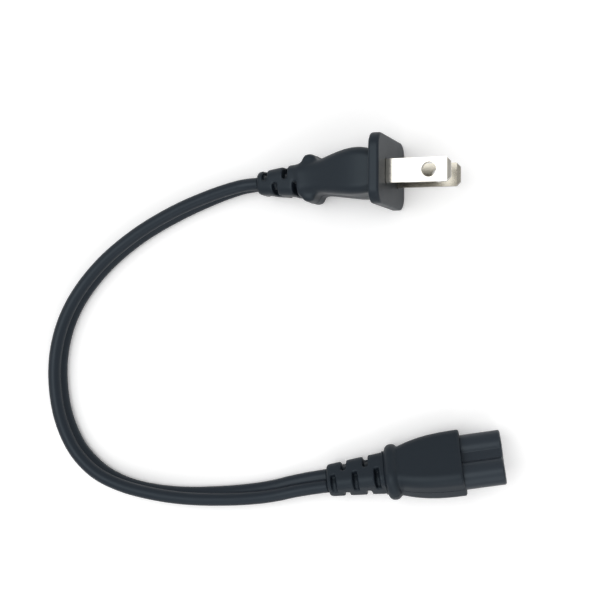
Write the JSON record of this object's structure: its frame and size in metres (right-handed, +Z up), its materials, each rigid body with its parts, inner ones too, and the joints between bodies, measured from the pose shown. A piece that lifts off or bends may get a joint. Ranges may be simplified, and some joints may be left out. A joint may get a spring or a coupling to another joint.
{
  "type": "figure eight power lead",
  "caption": "short mains lead lying in an open C: two-blade mains plug, flat twin cord standing on its edge, and a figure eight connector, with slotted strain reliefs",
  "frame": {"origin": "on the table, under the middle of the box round the plug and the connector without the cord", "axes": "+Z up from the table; +X the way the plug's blades point, seen from above; +Y from the connector towards the plug"},
  "size_m": [0.1272, 0.101, 0.0281],
  "materials": {
    "moulding": "soft black PVC moulding with a fine satin skin",
    "jacket": "soft black PVC cord jacket, satin",
    "nose": "hard black plastic, satin",
    "carrier": "hard dark plastic, hidden inside the plug",
    "blades": "nickel plated brass, rolled and bright",
    "contacts": "spring brass",
    "copper": "bare stranded copper, drawn as one plain rod"
  },
  "bodies": {
    "root": {"plug_body": "moulding", "blade_carrier": "carrier", "blade_upper": "blades", "blade_lower": "blades", "plug_wire_upper": "copper", "plug_wire_lower": "copper", "connector_body": "moulding", "connector_nose": "nose", "contact_inner": "contacts", "contact_outer": "contacts", "connector_wire_inner": "copper", "connector_wire_outer": "copper", "cord": "jacket"}
  },
  "joints": []
}
